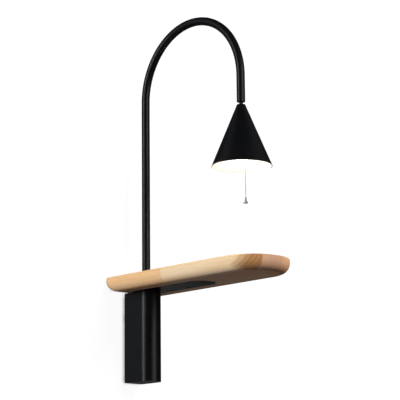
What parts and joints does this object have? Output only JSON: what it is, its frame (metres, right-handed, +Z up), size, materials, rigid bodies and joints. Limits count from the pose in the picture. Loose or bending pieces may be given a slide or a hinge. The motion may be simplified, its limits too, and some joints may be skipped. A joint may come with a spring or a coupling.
{
  "type": "wall lamp with shelf",
  "caption": "Wall lamp with a wooden shelf: a steel base on a wall bracket, an arched tube through the shelf board and a small cone shade with a pull switch.",
  "frame": {"origin": "on the wall plane, midway between the two wall screw holes of the bracket", "axes": "+Z up along the base, -Y out of the wall along the shelf, +X to the right for a person who faces the wall"},
  "size_m": [0.106, 0.3, 0.5199],
  "materials": {
    "painted_black": "satin powder coat",
    "zinc_steel": "zinc plated",
    "black_rubber": "matt",
    "black_screws": "black oxide",
    "white_plastic": "matt",
    "brass_parts": "machined",
    "pale_wood": "clear lacquer, fine grain",
    "cable_sheath": "smooth",
    "wire_insulation": "smooth",
    "ceramic": "glazed",
    "opal_glass": "frosted",
    "light_source": "phosphor strip",
    "nickel": "nickel plated"
  },
  "bodies": {
    "frame": {"wall_bracket": "zinc_steel", "entry_grommet": "black_rubber", "base_housing": "painted_black", "hanger_bar": "zinc_steel", "base_cap": "painted_black", "cap_screw": "black_screws", "terminal_block": "white_plastic", "terminal_screws": "zinc_steel", "terminal_fixings": "zinc_steel", "earth_screw": "brass_parts", "earth_washer": "brass_parts", "shelf_board": "pale_wood", "support_plate": "painted_black", "shelf_screws": "black_screws", "arm_tube": "painted_black", "arm_cable": "cable_sheath", "arm_nipple": "zinc_steel", "arm_washer": "zinc_steel", "arm_nut": "zinc_steel", "swivel_bush": "brass_parts", "stop_pin": "zinc_steel"},
    "swivel": {"swivel_stud": "black_screws", "stud_clip": "zinc_steel", "neck_wires": "wire_insulation"},
    "shade_assembly": {"shade": "painted_black", "shade_socket": "brass_parts", "ball_clamp": "brass_parts", "clamp_lock_nut": "brass_parts", "holder_cap": "zinc_steel", "lamp_holder": "ceramic", "lamp_pins": "zinc_steel", "lamp_base": "white_plastic", "lamp_glass": "opal_glass", "light_strip": "light_source", "switch_strap": "zinc_steel", "switch_body": "white_plastic", "chain_guide": "brass_parts", "guide_nut": "brass_parts", "shade_wires": "wire_insulation", "switch_leads": "wire_insulation"},
    "pull": {"switch_plunger": "nickel"},
    "chain": {"pull_chain": "nickel", "chain_bell": "nickel"}
  },
  "joints": [
    {"name": "shade_turn", "type": "hinge", "parent": "frame", "child": "swivel", "pos_m": [0, -0.233, 0.3105], "axis": [0, 0, 1], "range_deg": [-155, 155]},
    {"name": "shade_tilt", "type": "hinge", "parent": "swivel", "child": "shade_assembly", "pos_m": [0, -0.233, 0.3016], "axis": [-0.4848, -0.8746, 0], "range_deg": [-20, 20]},
    {"name": "switch_pull", "type": "slide", "parent": "shade_assembly", "child": "pull", "axis": [0, 0, -1], "range_m": [0, 0.006], "stiffness_N_per_m": 300, "springref_m": -0.004},
    {"name": "chain_hang", "type": "hinge", "parent": "pull", "child": "chain", "pos_m": [-0.008, -0.24743, 0.2301], "axis": [-0.4848, -0.8746, 0], "range_deg": [-22, 22]}
  ],
  "couplings": [
    {"joint": "chain_hang", "follows": "shade_tilt", "ratio": -1}
  ]
}
